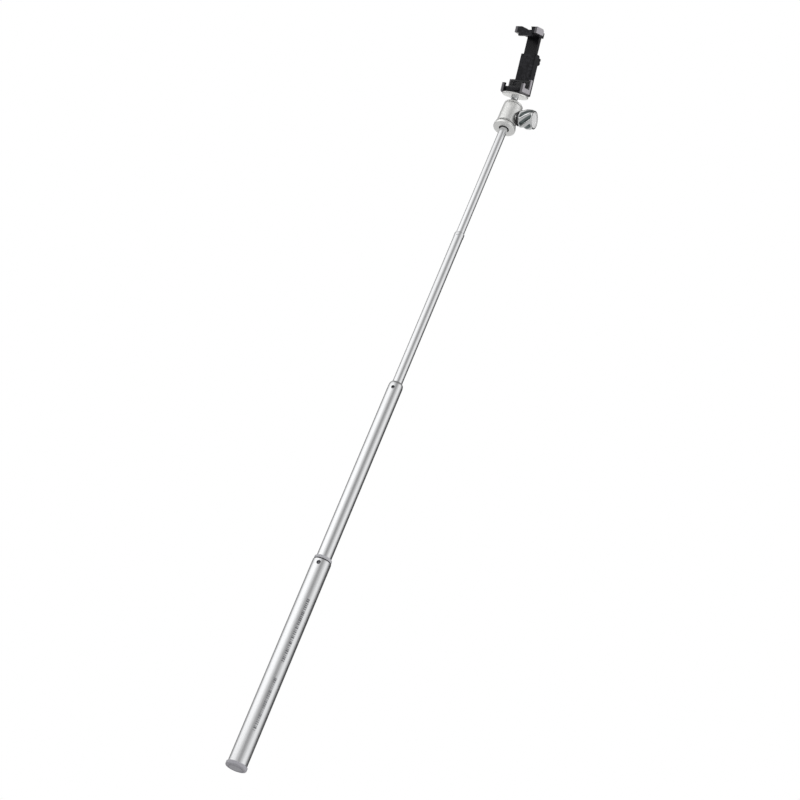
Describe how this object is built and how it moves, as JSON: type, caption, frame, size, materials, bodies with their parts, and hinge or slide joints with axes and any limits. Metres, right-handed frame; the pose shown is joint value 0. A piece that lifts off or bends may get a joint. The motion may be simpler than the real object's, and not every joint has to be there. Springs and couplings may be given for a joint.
{
  "type": "selfie stick",
  "caption": "Telescoping aluminium selfie stick with push-button tube locks, a small ball head locked by a fluted side knob, and a sliding spring-free phone clamp.",
  "frame": {"origin": "centre of the end cap's bottom face, on the stick's axis", "axes": "+Z along the stick from the end cap to the head, -Y the side that the lock buttons face"},
  "size_m": [0.0629, 0.0856, 1.1189],
  "materials": {
    "handle_aluminium": "anodised silver, fine lengthwise brushing",
    "tube_aluminium": "anodised silver, fine lengthwise brushing",
    "head_aluminium": "bead-blasted and anodised, satin",
    "knob_aluminium": "diamond-turned flutes, bright",
    "collar_plastic": "moulded, satin light grey",
    "cap_rubber": "moulded rubber, matt grey",
    "bush_plastic": "moulded acetal, black",
    "button_steel": "tumbled",
    "spring_steel": "rolled strip",
    "screw_steel": "black oxide",
    "stem_chrome": "polished",
    "brass": "turned",
    "black_rubber": "moulded, matt black",
    "clamp_plastic": "glass-filled nylon, semi-matt black",
    "slider_plastic": "glass-filled nylon, smooth",
    "pad_rubber": "moulded silicone, matt black"
  },
  "bodies": {
    "handle": {"end_cap": "cap_rubber", "handle_tube": "handle_aluminium", "handle_collar": "collar_plastic"},
    "section_2": {"section_2_tube": "tube_aluminium", "section_2_foot_bush": "bush_plastic", "section_2_top_bush": "bush_plastic", "section_2_lock_spring": "spring_steel"},
    "section_2_button": {"section_2_lock_button": "button_steel"},
    "section_3": {"section_3_tube": "tube_aluminium", "section_3_foot_bush": "bush_plastic", "section_3_lock_spring": "spring_steel"},
    "section_3_button": {"section_3_lock_button": "button_steel"},
    "section_4_head": {"section_4_tube": "tube_aluminium", "friction_sleeve": "bush_plastic", "head_adapter": "head_aluminium", "head_grommet": "black_rubber", "head_body": "head_aluminium", "head_collar": "head_aluminium", "pressure_cone": "brass", "knob_washer": "black_rubber"},
    "head_knob": {"lock_knob": "knob_aluminium", "knob_screw": "screw_steel"},
    "pan_cup": {"ball_cup": "bush_plastic"},
    "ball": {"ball_stem": "stem_chrome", "platform_disc": "head_aluminium", "platform_pad": "black_rubber", "platform_stud": "screw_steel"},
    "clamp": {"lower_jaw": "clamp_plastic", "threaded_insert": "brass", "lower_pad": "pad_rubber", "back_pad": "pad_rubber", "slide_housing": "clamp_plastic", "housing_cover": "clamp_plastic", "cover_screws": "screw_steel", "jaw_screws": "screw_steel", "lock_nut": "brass"},
    "sliding_jaw": {"upper_jaw": "clamp_plastic", "upper_pad": "pad_rubber", "jaw_slider": "slider_plastic", "slider_screws": "screw_steel"},
    "clamp_knob": {"thumbscrew_shaft": "screw_steel", "thumbscrew_knob": "clamp_plastic"}
  },
  "joints": [
    {"name": "section_2_extend", "type": "slide", "parent": "handle", "child": "section_2", "axis": [0, 0, 1], "range_m": [-0.238, 0]},
    {"name": "section_2_button_press", "type": "slide", "parent": "section_2", "child": "section_2_button", "axis": [0, 1, 0], "range_m": [0, 0.002], "deforming": ["section_2_lock_spring"]},
    {"name": "section_3_extend", "type": "slide", "parent": "section_2", "child": "section_3", "axis": [0, 0, 1], "range_m": [-0.228, 0]},
    {"name": "section_3_button_press", "type": "slide", "parent": "section_3", "child": "section_3_button", "axis": [0, 1, 0], "range_m": [0, 0.0014], "deforming": ["section_3_lock_spring"]},
    {"name": "section_4_extend", "type": "slide", "parent": "section_3", "child": "section_4_head", "axis": [0, 0, 1], "range_m": [-0.18, 0]},
    {"name": "head_knob_turn", "type": "hinge", "parent": "section_4_head", "child": "head_knob", "pos_m": [0, 0, 0.9943], "axis": [0.9903, -0.1392, 0], "range_deg": [0, 540]},
    {"name": "ball_pan", "type": "hinge", "parent": "section_4_head", "child": "pan_cup", "pos_m": [0, 0, 1.007], "axis": [0, 0, 1], "continuous": true},
    {"name": "ball_tilt", "type": "hinge", "parent": "pan_cup", "child": "ball", "pos_m": [0, 0, 1.007], "axis": [1, 0, 0], "range_deg": [-59, 6]},
    {"name": "clamp_turn", "type": "hinge", "parent": "ball", "child": "clamp", "pos_m": [0, 0, 1.007], "axis": [0, -0.454, 0.891], "continuous": true},
    {"name": "jaw_slide", "type": "slide", "parent": "clamp", "child": "sliding_jaw", "axis": [0, -0.454, 0.891], "range_m": [-0.017, 0.02]},
    {"name": "clamp_knob_turn", "type": "hinge", "parent": "clamp", "child": "clamp_knob", "pos_m": [0.00908, -0.01953, 1.08459], "axis": [0.454, 0.7939, 0.4045], "range_deg": [0, 540]}
  ]
}
